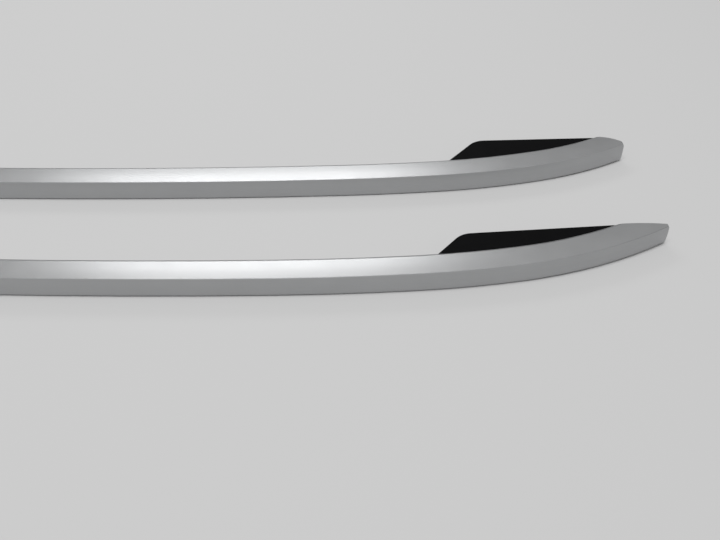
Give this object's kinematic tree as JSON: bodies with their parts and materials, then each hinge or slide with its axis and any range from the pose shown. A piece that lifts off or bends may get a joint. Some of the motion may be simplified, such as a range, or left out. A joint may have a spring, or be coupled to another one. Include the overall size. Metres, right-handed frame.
{
  "type": "roof side rail pair",
  "caption": "Raised car roof side rails, left and right: bowed hollow satin aluminium bars on black moulded feet with rubber pads and threaded inserts, lying on their inner sides.",
  "frame": {"origin": "middle of the pair's footprint, on the bench that the rails lie on", "axes": "+X along the rails, towards the front of the left one and the rear of the right one; +Z up from the bench, which is outwards on the car; -Y is up on the car and +Y is towards the roof"},
  "size_m": [1.6284, 0.3197, 0.0315],
  "materials": {
    "satin_aluminium": "satin clear anodised extrusion",
    "black_nylon": "moulded glass-filled nylon, matte grain",
    "black_rubber": "moulded rubber, dull",
    "zinc_plated_steel": "bright zinc plate"
  },
  "bodies": {
    "root": {"left_front_bolt_seals": "black_rubber", "left_front_foot": "black_nylon", "left_front_foot_screws": "zinc_plated_steel", "left_front_gasket": "black_rubber", "left_front_nut_plate": "zinc_plated_steel", "left_front_threaded_inserts": "zinc_plated_steel", "left_rail_bar": "satin_aluminium", "left_rear_bolt_seals": "black_rubber", "left_rear_foot": "black_nylon", "left_rear_foot_screws": "zinc_plated_steel", "left_rear_gasket": "black_rubber", "left_rear_nut_plate": "zinc_plated_steel", "left_rear_threaded_inserts": "zinc_plated_steel", "right_front_bolt_seals": "black_rubber", "right_front_foot": "black_nylon", "right_front_foot_screws": "zinc_plated_steel", "right_front_gasket": "black_rubber", "right_front_nut_plate": "zinc_plated_steel", "right_front_threaded_inserts": "zinc_plated_steel", "right_rail_bar": "satin_aluminium", "right_rear_bolt_seals": "black_rubber", "right_rear_foot": "black_nylon", "right_rear_foot_screws": "zinc_plated_steel", "right_rear_gasket": "black_rubber", "right_rear_nut_plate": "zinc_plated_steel", "right_rear_threaded_inserts": "zinc_plated_steel"}
  },
  "joints": []
}
